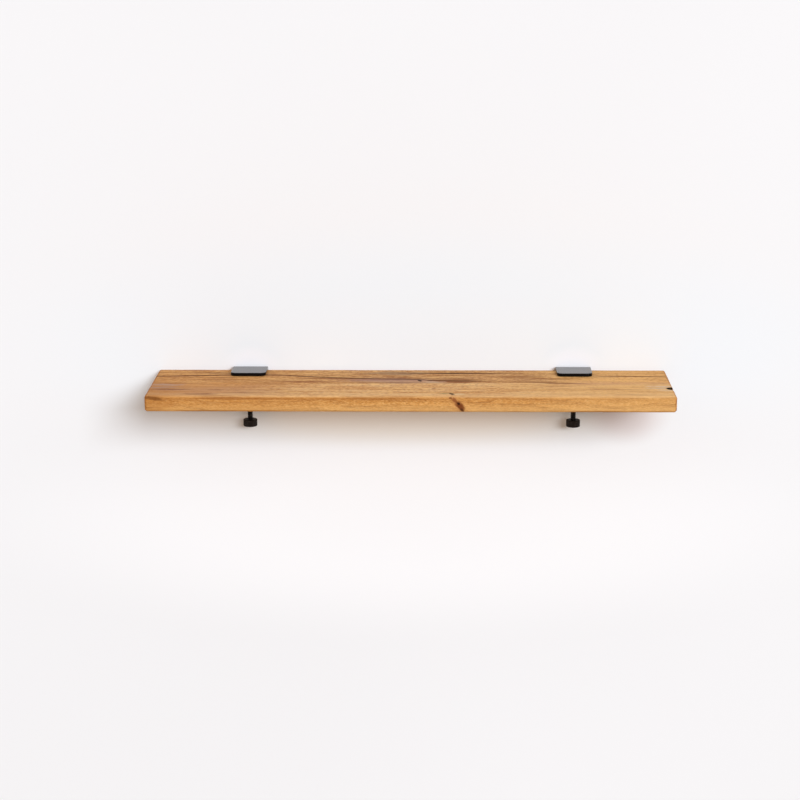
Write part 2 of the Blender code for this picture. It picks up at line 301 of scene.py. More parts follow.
def start_material(name, roughness, metallic=0.0):
    """A new material with a plain shader, its node tree, and places on the piece in millimetres."""
    material = bpy.data.materials.new(name)
    material.use_nodes = True
    tree = material.node_tree
    shader = tree.nodes["Principled BSDF"]
    shader.inputs["Roughness"].default_value = roughness
    shader.inputs["Metallic"].default_value = metallic
    place = link_node(tree, "TexCoord", out="Object")
    place = link_node(tree, "VectorMath", {0: place, 3: 1 / MM}, operation="SCALE")
    return material, tree, shader, place


def patches(tree, place, size, detail=2.0, out=0):
    """Soft patches that measure size in millimetres along each axis."""
    place = link_node(tree, "VectorMath", {0: place, 1: size}, operation="DIVIDE")
    return link_node(tree, "TexNoise", {"Vector": place, "Scale": 1.0, "Detail": detail}, out)


def stain(tree, under, *layers):
    """Lays layers over a colour one by one: each is a colour, its greatest share, and tests.

    A test is a value with two limits: it holds fully at the second limit and beyond, not at all at the
    first, and goes smoothly between them. The shares of all of a layer's tests are multiplied.
    """
    for over, share, *tests in layers:
        for value, nothing, full in tests:
            share = link_node(tree, "MapRange", {0: value, 1: nothing, 2: full, 3: 0.0, 4: share},
                              interpolation_type="SMOOTHSTEP")
        under = link_node(tree, "Mix", {0: share, 6: under, 7: over}, 2, data_type="RGBA")
    return under


def oval(tree, place, middle, half, turn=(0.0, 0.0, 0.0)):
    """Places on an oval's own axes and their distance from its middle, as shares of its half sizes."""
    inner = link_node(tree, "Mapping", {
        "Vector": place, "Location": middle, "Rotation": turn, "Scale": half,
    }, vector_type="TEXTURE")
    return inner, link_node(tree, "VectorMath", {0: inner}, "Value", operation="LENGTH")


# A stain, knot or patch in the timber: centre and half sizes in millimetres on the board's own axes, turns
# in degrees about Y and Z, how much of the timber's colour it covers, its colour, and how ragged and how
# soft its edge is as shares of its size
Mark = namedtuple("Mark", "x y z long wide deep turn_y turn_z cover code ragged soft", defaults=(0.6, 0.7))

MARKS = (
    # Mauve and brown heartwood in the middle of the upper face
    Mark(-28, -83, 0, 82, 18, 5, 0, -3, 0.65, "#AA8674", 0.35, 0.9),
    Mark(66, -81, 0, 36, 18, 5, 0, -2, 0.75, "#84502A", 0.35, 0.9),
    Mark(36, -92, 0, 18, 7, 5, 0, 0, 0.6, "#C4A488"),
    Mark(-22, -32, 0, 44, 14, 5, 0, 0, 0.6, "#9C7E60"),
    # Dark lines on the upper face
    Mark(-300, -31, 0, 40, 4, 3, 0, 0, 0.85, "#6A3A1A"),
    Mark(70, -32, 0, 88, 4, 4, 0, 0.5, 0.95, "#43220D"),
    Mark(343, -50.5, 0, 66, 3.4, 4, 0, 0, 0.65, "#553013"),
    Mark(-160, -88, 0, 90, 5, 4, 0, -2, 0.5, "#80451F"),
    Mark(-120, -70, 0, 80, 4, 4, 0, -3, 0.45, "#7A421D"),
    Mark(-30, -95, 0, 60, 3.5, 4, 0, -1, 0.5, "#5E3626"),
    Mark(-10, -70, 0, 50, 3.5, 4, 0, -1, 0.45, "#6A4232"),
    Mark(192, -90, 0, 46, 5, 4, 0, -4, 0.6, "#74411D"),
    Mark(232, -98, 0, 46, 4, 4, 0, -5, 0.7, "#6E3E1B"),
    Mark(165, -54, 0, 50, 5, 4, 0, 0, 0.7, "#7A4621"),
    Mark(205, -68, 0, 46, 4, 4, 0, 2, 0.45, "#7A4621"),
    # Small pits, drawn without a hollow: their dark spots are dirt and painted shade
    Mark(13.5, -82, 0, 3.4, 8, 3, 0, 20, 0.9, "#2E1C16", 0.3),
    Mark(29, -81, 0, 5, 6, 3, 0, -15, 0.5, "#5A4034", 0.3),
    Mark(35, -134, 0, 3, 7, 3, 0, -20, 0.6, "#8C5A3C", 0.3),
    Mark(52, -166, 0, 9, 5, 3, 0, 0, 0.6, "#8A7C50"),
    Mark(62.5, -170, 0, 3.4, 9, 3, 0, 20, 0.9, "#32200F", 0.4),
    Mark(74, -172, 0, 9, 6, 3, 0, 0, 0.4, "#DCC49A"),
    # Grey and brown weathered streaks towards both ends
    Mark(-300, -150, 0, 110, 34, 5, 0, 0, 0.25, "#A27E6E", 0.5, 1.2),
    Mark(-388, -125, 0, 44, 60, 5, 0, 0, 0.3, "#9A5E30", 0.5, 1.2),
    Mark(310, -98, 0, 90, 12, 5, 0, 0, 0.3, "#B2806E", 0.5, 1.2),
    Mark(-376, -112, 0, 30, 7, 6, 0, 0, 0.65, "#AC9080"),
    Mark(-382, -130, 0, 26, 7, 6, 0, 2, 0.55, "#A58471"),
    Mark(-366, -143, 0, 40, 5, 6, 0, 0, 0.7, "#80563E"),
    Mark(-318, -173, 0, 32, 4, 4, 0, 0, 0.7, "#703D20"),
    Mark(-255, -164, 0, 36, 3.5, 4, 0, 0, 0.5, "#7E4C2E"),
    Mark(-296, -146, 0, 14, 4, 4, 0, 0, 0.5, "#7E4C2E"),
    Mark(384, -118, 0, 24, 5, 6, 0, 0, 0.55, "#D2C0AC"),
    Mark(380, -130, 0, 22, 6, 6, 0, -2, 0.6, "#C6AE94"),
    Mark(388, -145, 0, 14, 5, 6, 0, 0, 0.5, "#CDB59A"),
    # Front side: stain at the left end, brown lines under the edge, and a small knot
    Mark(-395, -185, -10, 60, 14, 16, 0, 0, 0.3, "#A4642A"),
    Mark(-386, -185, -4.4, 17, 8, 3.4, 6, 0, 0.65, "#6A3C1A", 0.6, 0.9),
    Mark(-250, -186, -4.2, 80, 6, 2.4, 0, 0, 0.5, "#905426"),
    Mark(-28, -186, -4.6, 100, 6, 1.6, 0, 0, 0.25, "#8E5226"),
    Mark(112, -186, -9.0, 14, 6, 1.8, -6, 0, 0.5, "#8A5228"),
    Mark(73, -186, -12, 15, 8, 9, 40, 0, 0.45, "#C48450"),
    Mark(60.5, -185, -3, 3, 4, 2, 20, 0, 0.75, "#74401E", 0.3),
    Mark(66.5, -186, -6.2, 4.8, 5, 2.8, 48, 0, 0.75, "#7E3F22", 0.4, 0.9),
    Mark(74.6, -186, -15.2, 10.5, 7, 5.4, 54, 0, 0.95, "#71381A", 0.4, 0.9),
    Mark(72.5, -186, -11.4, 2.8, 6, 2.2, 50, 0, 0.9, "#2A1008", 0.3),
    Mark(77.5, -186, -21, 3.6, 6, 2.4, 30, 0, 0.8, "#451F0A", 0.3),
    # Dirt and painted shade in the chip in the right end
    Mark(400, -132.5, 0, 13, 11, 11, 0, 0, 1.0, "#0C0705", 0.1, 0.25),
)

# Where the middle of a mark's edge lies, as a share of its half sizes
MARK_EDGE = 0.85

# The long dark line that wanders along the upper face, as places in millimetres along and across it
WANDERING_LINE = (
    (-399, -54), (-337, -50), (-280, -44.5), (-223, -44), (-172, -53),
    (-125, -61), (-55, -69), (15, -75), (46, -81.5), (123, -84),
)


def line_distance(tree, along, across, points):
    """How far a place lies from a line that wanders along the upper face, in millimetres across it.

    The line's place across is a curve through the given points, read at the place along.
    """
    low, high = np.min(points, axis=0), np.max(points, axis=0)
    share = link_node(tree, "MapRange", {0: along, 1: low[0], 2: high[0]})
    curve = link_node(tree, "FloatCurve", {"Value": share})
    knots = curve.node.mapping.curves[0].points
    shares = (np.array(points) - low) / (high - low)
    knots[0].location, knots[-1].location = shares[0], shares[-1]
    for point in shares[1:-1]:
        knots.new(*point)
    curve.node.mapping.update()
    middle = link_node(tree, "MapRange", {0: curve, 3: low[1], 4: high[1]})
    away = link_node(tree, "Math", {0: across, 1: middle}, operation="SUBTRACT")
    return link_node(tree, "Math", {0: away}, operation="ABSOLUTE")


def oiled_timber(settings):
    """Reclaimed softwood, planed, sanded and oiled.

    It gives the eye a golden brown with short flecks along the grain, an upper face that is paler in front
    and streaked with brown at the back, ringed ends, and the soft sheen of oil. The growth rings are
    circles about a pith line under the board. Fibres under a millimetre wide are drawn two or three times
    too coarse, so that they show.
    """
    material, tree, shader, place = start_material("sanded_and_oiled_reclaimed_timber", 0.6)
    shader.inputs["Specular IOR Level"].default_value = 0.05
    golden, honey, amber, brown, pale, tan = (tuple(code) for code in (
        settings.golden, settings.honey, settings.amber, settings.brown, settings.pale, settings.tan))
    along = link_node(tree, "SeparateXYZ", {0: place})
    across, up = along.node.outputs[1:]
    to_end = link_node(tree, "Math", {0: along}, operation="ABSOLUTE")

    wander = patches(tree, place, (150, 40, 40), 1.0, out=1)
    wander = link_node(tree, "VectorMath", {0: wander, 1: (0.5, 0.5, 0.5)}, operation="SUBTRACT")
    wander = link_node(tree, "VectorMath", {0: wander, 1: (0.0, 16.0, 9.0)}, operation="MULTIPLY")
    grain = link_node(tree, "VectorMath", {0: place, 1: wander})
    slanted = link_node(tree, "Mapping", {"Vector": grain, "Rotation": (0, math.radians(-6), 0)})

    from_pith = link_node(tree, "Mapping", {
        "Vector": grain, "Location": (0, -78, -58), "Rotation": (0, math.radians(-1.1), math.radians(1.6)),
    }, vector_type="TEXTURE")
    from_pith = link_node(tree, "VectorMath", {0: from_pith, 1: (0, 1, 1)}, operation="MULTIPLY")
    from_pith = link_node(tree, "VectorMath", {0: from_pith}, "Value", operation="LENGTH")
    year = link_node(tree, "Math", {0: from_pith, 1: MM / settings.ring_width}, operation="MULTIPLY")
    year = link_node(tree, "Math", {0: year}, operation="FRACT")

    broad = patches(tree, grain, (260, 30, 18))
    band = patches(tree, grain, (120, 5.0, 4.0), 3.0)
    fleck = patches(tree, slanted, (5.8, 1.5, 1.3), 2.0)
    speck = patches(tree, slanted, (3.6, 1.1, 1.0), 1.0)
    fibre = patches(tree, grain, (36, 0.8, 0.8))
    # The upper face was sawn along the rings, which makes its bands wider
    wide = patches(tree, grain, (150, 12, 6), 3.0)
    lane = patches(tree, grain, (75, 6.5, 4), 2.0)
    dash = patches(tree, grain, (13, 3.2, 3), 3.0)
    thin = patches(tree, grain, (120, 4.6, 3), 2.0)
    mottle = patches(tree, grain, (5.5, 6, 4), 2.0)

    # Tests for the underside, the upper face's back half and the two ends
    under = (up, -21, -24)
    back = (across, -102, -93)
    end = (to_end, 395.5, 398.5)

    # The sawn sides, paler to the right and towards their lower edges
    side = stain(
        tree, golden,
        (amber, 0.7, (broad, 0.42, 0.7)),
        (honey, 0.5, (fleck, 0.5, 0.3)),
        (amber, 0.6, (fleck, 0.5, 0.68)),
        (brown, 0.48, (speck, 0.53, 0.7)),
        (honey, 0.65, (speck, 0.45, 0.28)),
        (brown, 0.4, (band, 0.55, 0.75)),
        (brown, 0.38, (fleck, 0.52, 0.66), (up, -10, -3.5)),
        # Paler towards the lower edge: partly the timber's tone, partly painted light against the shade on
        # its rounding
        (honey, 0.4, (up, -9, -20)),
        (amber, 0.35, (up, -11, -3)),
        (honey, 0.3, (along, 50, 380)),
        (amber, 0.25, (along, -50, -300)),
        # The underside, banded like the upper face but not bleached
        (amber, 0.7, under, (wide, 0.42, 0.6)),
        (honey, 0.5, under, (lane, 0.46, 0.32)),
        (brown, 0.6, under, (thin, 0.53, 0.64)),
    )

    # The upper face, which light has bleached
    face = stain(
        tree, pale,
        (tan, 0.8, (wide, 0.42, 0.6)),
        (honey, 0.6, (lane, 0.46, 0.32)),
        (tan, 0.75, (dash, 0.5, 0.64)),
        (honey, 0.65, (dash, 0.46, 0.32)),
        (brown, 0.28, (mottle, 0.5, 0.66)),
        (honey, 0.4, (mottle, 0.5, 0.36)),
        (honey, 0.54, (along, 60, 320)),
        (amber, 0.35, (along, -120, -340)),
        (amber, 0.5, (along, -160, -360), (across, -93, -102)),
        (pale, 0.4, (across, -158, -176)),
        # Its back half is darker and more streaked, most of all in the middle
        (golden, 0.45, back, (along, -60, -260)),
        (golden, 0.45, back, (along, 150, 300)),
        (tan, 0.45, back, (along, 260, 140)),
        (honey, 0.5, back, (thin, 0.47, 0.36)),
        (brown, 0.5, back, (along, 260, 140), (along, -300, -60), (wide, 0.48, 0.64)),
        (brown, 0.65, back, (along, 330, 180), (along, -420, -120), (thin, 0.53, 0.62)),
        (brown, 0.35, back, (along, 300, 120), (dash, 0.51, 0.64)),
        (honey, 0.3, back, (dash, 0.45, 0.33)),
        (brown, 0.2, back, (mottle, 0.52, 0.66)),
        (honey, 0.2, back, (mottle, 0.48, 0.36)),
        (brown, 0.38, (thin, 0.57, 0.67), (to_end, 80, 240)),
        # Painted shade: a brown band along the back edge, which faces the wall
        (brown, 0.5, (across, -14, -6.5)),
    )

    wood = stain(
        tree, side,
        (face, 1.0, (up, -3.6, -0.4)),
        (brown, 0.3, (year, 0.3, 0.9), (year, 1.0, 0.93), (fibre, 0.3, 0.6)),
        (brown, 0.35, (fibre, 0.54, 0.72)),
        # The ends, where the oil sinks in between the rings
        (amber, 0.6, end),
        (brown, 0.75, end, (year, 0.35, 0.9), (year, 1.0, 0.95)),
        (brown, 0.6, end, (speck, 0.5, 0.7)),
    )

    for mark in MARKS:
        turn = (0.0, math.radians(mark.turn_y), math.radians(mark.turn_z))
        half = (mark.long, mark.wide, mark.deep)
        inner, reach = oval(tree, place, (mark.x, mark.y, mark.z), half, turn)
        # The edge is ragged, and in another way on each mark
        edge = link_node(tree, "TexNoise", {"Vector": inner, "W": mark.x, "Scale": 1.5, "Detail": 3.0},
                         noise_dimensions="4D")
        edge = link_node(tree, "MapRange", {0: edge, 1: 0.25, 2: 0.75, 3: -mark.ragged, 4: mark.ragged})
        reach = link_node(tree, "Math", {0: reach, 1: edge})
        limits = (MARK_EDGE + mark.soft / 2, MARK_EDGE - mark.soft / 2)
        wood = stain(tree, wood, (linear(mark.code), mark.cover, (reach, *limits)))
    away = line_distance(tree, along, across, WANDERING_LINE)
    worn = patches(tree, place, (60, 3, 3))
    tests = ((away, 5.5, 1.0), (along, 135, 90), (up, -8, -2), (worn, 0.25, 0.5))
    wood = stain(tree, wood, (linear("#54290F"), 0.9, *tests))
    tree.links.new(wood, shader.inputs["Base Color"])

    link_node(tree, "MapRange", {0: fleck, 1: 0.3, 2: 0.7, 3: 0.56, 4: 0.74},
              into=shader.inputs["Roughness"])
    link_node(tree, "Bump", {"Height": fibre, "Distance": 0.06 * MM, "Strength": 0.7},
              into=shader.inputs["Normal"])
    return material


def powder_coat(settings):
    """Steel strip with a baked powder coat.

    It gives the eye a satin black with the faint orange peel of powder that flowed as it was baked, and a
    reflection that grows strong where it is seen along the surface. On the strip's cut edges, where the
    powder pulls back and bakes dull, the reflection is weak.
    """
    material, tree, shader, place = start_material("satin_black_powder_coat_on_steel", 0.1)
    shader.inputs["IOR"].default_value = 1.63
    edge = link_node(tree, "Attribute", out="Fac", attribute_name=CUT_EDGE)
    link_node(tree, "MapRange", {0: edge, 3: 0.5, 4: 0.08}, into=shader.inputs["Specular IOR Level"])
    dust = patches(tree, place, (14, 14, 14), 3.0)
    coat = stain(tree, tuple(settings.coat), (linear("#0E0E10"), 0.6, (dust, 0.45, 0.75)))
    tree.links.new(coat, shader.inputs["Base Color"])
    link_node(tree, "MapRange", {0: dust, 1: 0.3, 2: 0.7, 3: 0.08, 4: 0.14},
              into=shader.inputs["Roughness"])
    peel = patches(tree, place, (1.4, 1.4, 1.4), 1.0)
    link_node(tree, "Bump", {"Height": peel, "Distance": 0.01 * MM, "Strength": 0.5},
              into=shader.inputs["Normal"])
    return material


def black_oxide(settings, name, base, mark_size, roughness):
    """Steel blackened in a hot salt bath and oiled, with the marks of how it was shaped.

    It gives the eye a warm, nearly black metal whose oxide is rubbed thinner in patches, with fine lines of
    the given size in millimetres along each axis.
    """
    material, tree, shader, place = start_material(name, roughness, 0.7)
    rubbed = patches(tree, place, (3.5, 3.5, 3.5), 3.0)
    lines = patches(tree, place, mark_size)
    steel = stain(
        tree, tuple(base),
        (tuple(settings.bare_edge), 0.7, (rubbed, 0.48, 0.75)),
        (linear("#120E0C"), 0.6, (lines, 0.5, 0.7)),
    )
    tree.links.new(steel, shader.inputs["Base Color"])
    link_node(tree, "MapRange", {0: lines, 3: roughness - 0.08, 4: roughness + 0.12},
              into=shader.inputs["Roughness"])
    link_node(tree, "Bump", {"Height": lines, "Distance": 0.015 * MM, "Strength": 0.6},
              into=shader.inputs["Normal"])
    return material


def spring_wire():
    """Drawn and hardened spring wire: bright steel with fine lines along the drawing direction."""
    material, tree, shader, place = start_material("bright_drawn_spring_wire", 0.3, 1.0)
    lines = patches(tree, place, (2.0, 2.0, 0.12))
    steel = stain(tree, linear("#A9A9AB"), (linear("#7C7B7C"), 1.0, (lines, 0.4, 0.7)))
    tree.links.new(steel, shader.inputs["Base Color"])
    link_node(tree, "Bump", {"Height": lines, "Distance": 0.01 * MM, "Strength": 0.5},
              into=shader.inputs["Normal"])
    return material


def zinc_plate(settings):
    """Zinc-plated steel, cold-headed and rolled: pale grey metal, cloudy with faint yellow and blue."""
    material, tree, shader, place = start_material("passivated_zinc_plate_on_steel", 0.34, 1.0)
    cloud = patches(tree, place, (5, 5, 5), 3.0)
    plate = stain(
        tree, tuple(settings.zinc),
        (linear("#C9BE9C"), 0.7, (cloud, 0.5, 0.75)),
        (linear("#9FA6B0"), 0.7, (cloud, 0.45, 0.25)),
    )
    tree.links.new(plate, shader.inputs["Base Color"])
    link_node(tree, "MapRange", {0: cloud, 3: 0.25, 4: 0.45}, into=shader.inputs["Roughness"])
    pits = patches(tree, place, (0.5, 0.5, 0.5))
    link_node(tree, "Bump", {"Height": pits, "Distance": 0.01 * MM, "Strength": 0.4},
              into=shader.inputs["Normal"])
    return material


# The board


def box_lines(half, radius, inner):
    """Lines across one side of a rounded box: the inner ones, and those on the rounding at each end.

    A line at half - radius + radius * tan(angle) comes to lie on the rounding at that angle.
    """
    steps = 3
    angle = np.linspace(0.0, math.pi / 4, steps + 1)
    rounding = half - radius + radius * np.tan(angle)
    return np.concatenate((-rounding[::-1], inner[np.abs(inner) < half - radius - WELD], rounding))


def rounded_box(lines, half, radius):
    """The six sides of a box with rounded edges, as grids of points and of the directions they face.

    Each point of the sharp box goes to the nearest point of a box that is smaller by the radius all round,
    and from there out again by the radius.
    """
    for axis, sign in itertools.product(range(3), (-1, 1)):
        first, second = (other for other in range(3) if other != axis)
        sharp = np.empty((len(lines[first]), len(lines[second]), 3))
        sharp[..., first] = lines[first][:, None]
        sharp[..., second] = lines[second]
        sharp[..., axis] = sign * half[axis]
        core = np.clip(sharp, radius - half, half - radius)
        facing = sharp - core
        facing /= np.linalg.norm(facing, axis=-1, keepdims=True)
        yield core + radius * facing, facing


def worn_timber(points, facing, settings):
    """Sinks the plank's points by what sanding and wear took away, always inwards.

    The depth is a slow wave, plus grooves along the fibres, plus knocks that only reach rounded edges. A
    chip in the right end lowers the points around its middle by a smooth bowl.
    """
    wave = soft_noise(points, (70 * MM, 24 * MM, 14 * MM), seed=1) * settings.undulation
    groove = soft_noise(points, (34 * MM, 2.6 * MM, 2.6 * MM), seed=2) * settings.fibre_depth
    on_edge = np.clip((1 - np.abs(facing).max(axis=-1)) / (1 - math.sqrt(0.5)), 0.0, 1.0)
    knock = smoothstep(0.55, 0.9, soft_noise(points, (26 * MM,) * 3, seed=3)) * settings.edge_wear
    sunk = points - facing * (wave + groove + on_edge * knock)[..., None]
    along = (points[..., 0] - GOUGE_MIDDLE[0]) / GOUGE_REACH[0]
    across = (points[..., 1] - GOUGE_MIDDLE[1]) / GOUGE_REACH[1]
    bowl = smoothstep(0.0, 0.45, 1 - along ** 2 - across ** 2)
    fade = smoothstep(-GOUGE_FADE, 0.0, points[..., 2] - GOUGE_MIDDLE[2])
    sunk[..., 2] -= settings.gouge_depth * bowl * fade
    return sunk


BOARD_LOW, BOARD_HIGH = np.array(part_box("shelf_board"))
# The chip lies in the right end's upper edge, towards the front
GOUGE_MIDDLE = np.array((BOARD_HIGH[0], -132.5 * MM, BOARD_HIGH[2]))
GOUGE_REACH = np.array((10, 8.5)) * MM
GOUGE_FADE = 14 * MM


class SHELF_OT_board(bpy.types.Operator):
    """Builds the timber plank with its rounded, worn edges and the chip in its right end"""

    bl_idname = "shelf.board"
    bl_label = "Timber Board"

    def execute(self, context):
        settings = context.scene.shelf_board
        middle = (BOARD_LOW + BOARD_HIGH) / 2
        half = (BOARD_HIGH - BOARD_LOW) / 2
        # Fine lines only where the chip is
        fine_x = np.arange(-12, 12, 0.8) * MM + GOUGE_MIDDLE[0] - middle[0]
        fine_y = np.arange(-10.2, 10.2, 0.6) * MM + GOUGE_MIDDLE[1] - middle[1]
        coarse_x = np.arange(-half[0], half[0], 4 * MM)
        coarse_y = np.arange(-half[1], half[1], 1.3 * MM)
        lines_x = np.concatenate((coarse_x[coarse_x < fine_x[0] - MM], fine_x))
        apart = 0.3 * MM
        clear = (coarse_y < fine_y[0] - apart) | (coarse_y > fine_y[-1] + apart)
        lines_y = np.sort(np.concatenate((coarse_y[clear], fine_y)))
        lines_z = np.arange(-half[2], half[2], 1.3 * MM)
        radius = settings.edge_radius
        lines = [box_lines(side, radius, inner) for side, inner in zip(half, (lines_x, lines_y, lines_z))]
        sides = rounded_box(lines, half, radius)
        grids = [worn_timber(points + middle, facing, settings) for points, facing in sides]
        board = add_piece("timber_board", grids, oiled_timber(settings))
        stand_for(board, "shelf_board", "board")
        return {"FINISHED"}


# The brackets


# Points of a strip's grids: round a corner or a bend, between the corners, across it, and over its rim
BEND_POINTS = 9
RUN_POINTS = 25
ACROSS_POINTS = 13
RIM_POINTS = 5


def bent_strip(flat, front, middle_radius, jaw, back):
    """Bends a flat strip into a C.

    A point is its run along the strip, its place across it and its lift from the middle surface. The middle
    line is a straight jaw, a quarter turn, the straight back, a quarter turn and a second jaw. A point lies
    on that line at its run, moved out along the line's normal by its lift.
    """
    run, across, lift = np.moveaxis(flat, -1, 0)
    bend = middle_radius * math.pi / 2
    first_jaw = np.minimum(run, jaw)
    first_turn = np.clip((run - jaw) / middle_radius, 0.0, math.pi / 2)
    fallen = np.clip(run - jaw - bend, 0.0, back)
    second_turn = np.clip((run - jaw - bend - back) / middle_radius, 0.0, math.pi / 2)
    second_jaw = np.maximum(run - jaw - 2 * bend - back, 0.0)
    angle = first_turn + second_turn
    y = first_jaw + middle_radius * (np.sin(first_turn) - 1 + np.cos(second_turn)) - second_jaw
    z = -middle_radius * (1 - np.cos(first_turn) + np.sin(second_turn)) - fallen
    return np.stack((across, y + lift * np.sin(angle), z + lift * np.cos(angle)), axis=-1) + front


def flat_strip(total, width, thickness, corner, rim, bends):
    """The strip before it is bent: two faces and the rim around them, with run, place across and lift.

    Each row of a face is as wide as the strip there, which narrows along a quarter circle towards both
    ends. The rim is the faces' outline carried over a half-round-cornered section, out along its normal.
    """
    angle = np.linspace(0.0, math.pi / 2, BEND_POINTS)
    corner_run = corner - (corner - rim) * np.cos(angle)
    corner_half = width / 2 - corner + (corner - rim) * np.sin(angle)
    between = np.linspace(corner, total - corner, RUN_POINTS)[1:-1]
    inner_run = np.sort(np.concatenate((between, bends)))
    full = np.full(len(inner_run), width / 2 - rim)
    run = np.concatenate((corner_run, inner_run, total - corner_run[::-1]))
    half = np.concatenate((corner_half, full, corner_half[::-1]))
    column = np.linspace(-1.0, 1.0, ACROSS_POINTS)
    face = np.stack(np.broadcast_arrays(run[:, None], half[:, None] * column), axis=-1)

    level = np.zeros(len(inner_run))
    out_run = np.concatenate((-np.cos(angle), level, np.cos(angle)[::-1]))
    out_across = np.concatenate((np.sin(angle), level + 1, np.sin(angle)[::-1]))
    right = np.stack((run, half, out_run, out_across), axis=-1)
    left = right[::-1] * (1, -1, 1, -1)
    still = np.zeros(ACROSS_POINTS)
    nearest = np.stack((still + rim, half[0] * column, still - 1, still), axis=-1)
    farthest = nearest[::-1] * (-1, 1, -1, 1) + (total, 0, 0, 0)
    outline = np.concatenate((nearest[:-1], right[:-1], farthest[:-1], left))

    turn = np.linspace(math.pi / 2, 0.0, RIM_POINTS)
    lift = thickness / 2 - rim + rim * np.sin(turn)
    lift = np.concatenate((lift, -lift[::-1]))
    out = np.concatenate((rim * np.cos(turn), rim * np.cos(turn)[::-1]))
    place = outline[:, None, :2] + outline[:, None, 2:] * out[:, None]
    rim_grid = np.concatenate((place, np.broadcast_to(lift[:, None], (*place.shape[:2], 1))), axis=-1)
    faces = [np.insert(face, 2, sign * thickness / 2, axis=-1) for sign in (1, -1)]
    return [*faces, rim_grid]


def drill(piece, cutters):
    """Cuts holes out of a finished piece and keeps only the result."""
    for cutter in cutters:
        modifier = piece.modifiers.new(cutter.name, "BOOLEAN")
        modifier.object = cutter
    cut = bpy.data.meshes.new_from_object(piece.evaluated_get(bpy.context.evaluated_depsgraph_get()))
    piece.modifiers.clear()
    piece.data = cut
    cut.name = piece.name
    shade(cut)
    for cutter in cutters:
        bpy.data.objects.remove(cutter)


def mark_cut_edges(mesh, front, corner):
    """Gives each point of a bracket how far it belongs to a cut edge, from 0 to 1.

    It is a smoothstep of the part of the point's normal that lies along X, and within a corner's radius of
    the jaws' front also along Y, because the strip's faces only turn about X.
    """
    facing = np.empty(3 * len(mesh.vertices), np.float32)
    place = np.empty(3 * len(mesh.vertices), np.float32)
    mesh.vertex_normals.foreach_get("vector", facing)
    mesh.vertices.foreach_get("co", place)
    facing, place = facing.reshape(-1, 3), place.reshape(-1, 3)
    level = np.hypot(facing[:, 0], facing[:, 1] * (place[:, 1] < front + corner))
    mesh.attributes.new(CUT_EDGE, "FLOAT", "POINT").data.foreach_set("value", smoothstep(0.5, 0.95, level))


def out_of_wall(points):
    """Turns a shape that was made about Z so that its Z points out of the wall."""
    return np.stack((points[..., 0], -points[..., 2], points[..., 1]), axis=-1)


class SHELF_OT_brackets(bpy.types.Operator):
    """Builds the two bent steel strips with their rounded rims and their holes"""

    bl_idname = "shelf.brackets"
    bl_label = "Clamp Brackets"

    def execute(self, context):
        settings = context.scene.shelf_clamp
        material = powder_coat(settings)
        for side in SIDES:
            self.build(side, settings, material)
        return {"FINISHED"}

    def build(self, side, settings, material):
        """Builds one bracket where its solid is."""
        low, high = np.array(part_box(f"clamp_bracket_{side}"))
        stud_low, stud_high = np.array(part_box(f"thumbscrew_stud_{side}"))
        thickness = settings.strip_thickness
        middle_radius = settings.bend_radius + thickness / 2
        outer_radius = settings.bend_radius + thickness
        jaw = high[1] - low[1] - outer_radius
        back = high[2] - low[2] - 2 * outer_radius
        total = 2 * jaw + back + math.pi * middle_radius
        bend_share = np.linspace(0.0, middle_radius * math.pi / 2, BEND_POINTS)
        bends = np.concatenate((jaw + bend_share, total - jaw - bend_share))
        flat = flat_strip(total, high[0] - low[0], thickness,
                          settings.corner_radius, settings.rim_radius, bends)
        front = np.array(((low[0] + high[0]) / 2, low[1], high[2] - thickness / 2))
        grids = [bent_strip(grid, front, middle_radius, jaw, back) for grid in flat]
        bracket = add_piece(f"clamp_strip_{side}", grids, material)

        over = 2 * MM
        stud = (stud_low + stud_high) / 2
        bore = stud_high[0] - stud[0] + FIT_GAP
        mouth = 0.5 * MM
        top, foot = low[2] + thickness, low[2]
        profile = np.array((
            (0, top + over), (bore + mouth + over, top + over), (bore, top - mouth),
            (bore, foot + mouth), (bore + mouth + over, foot - over), (0, foot - over),
        ))
        hole = around_axis(profile[:, :1], profile[:, 1], columns=48) + (stud[0], stud[1], 0)
        cutters = [add_piece(f"stud_hole_{side}", [hole])]
        for letter in "ab":
            screw_low, screw_high = np.array(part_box(f"wall_screw_{side}_{letter}"))
            screw = (screw_low + screw_high) / 2
            head = (screw_high[0] - screw_low[0]) / 2 + FIT_GAP
            shank = 2.75 * MM
            sunk = 0.8 * MM
            profile = np.array((
                (0, over), (head, over), (head, -sunk), (shank, -sunk - head + shank),
                (shank, -thickness - over), (0, -thickness - over),
            ))
            place = (screw[0], -thickness, screw[2])
            hole = out_of_wall(around_axis(profile[:, :1], profile[:, 1], columns=40)) + place
            cutters.append(add_piece(f"wall_hole_{side}_{letter}", [hole]))
        drill(bracket, cutters)
        mark_cut_edges(bracket.data, low[1], settings.corner_radius)
        stand_for(bracket, f"clamp_bracket_{side}", "brackets")


# The thumbscrews and their pads


